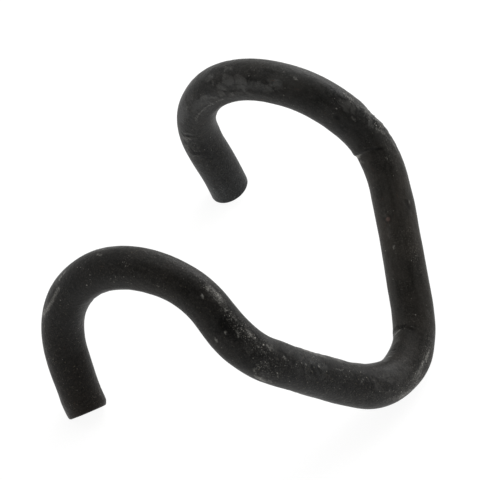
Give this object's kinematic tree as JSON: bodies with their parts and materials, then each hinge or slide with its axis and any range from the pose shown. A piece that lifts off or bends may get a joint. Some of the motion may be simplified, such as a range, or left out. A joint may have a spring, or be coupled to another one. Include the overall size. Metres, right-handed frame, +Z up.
{
  "type": "bent bar holdback clip",
  "caption": "Clip hot bent from round black-scaled steel bar: a V nose, mirrored legs and arms, and hooked heels that end in square-cut tips.",
  "frame": {"origin": "middle of the footprint, on the ground that the nose and the two tips stand on", "axes": "+Z up, -Y towards the nose, +Y towards the heels, X across the clip; the bar mirrors in the YZ plane"},
  "size_m": [0.1478, 0.1313, 0.0871],
  "materials": {
    "black_scale_steel": "matte"
  },
  "bodies": {
    "root": {"clip_bar": "black_scale_steel"}
  },
  "joints": []
}
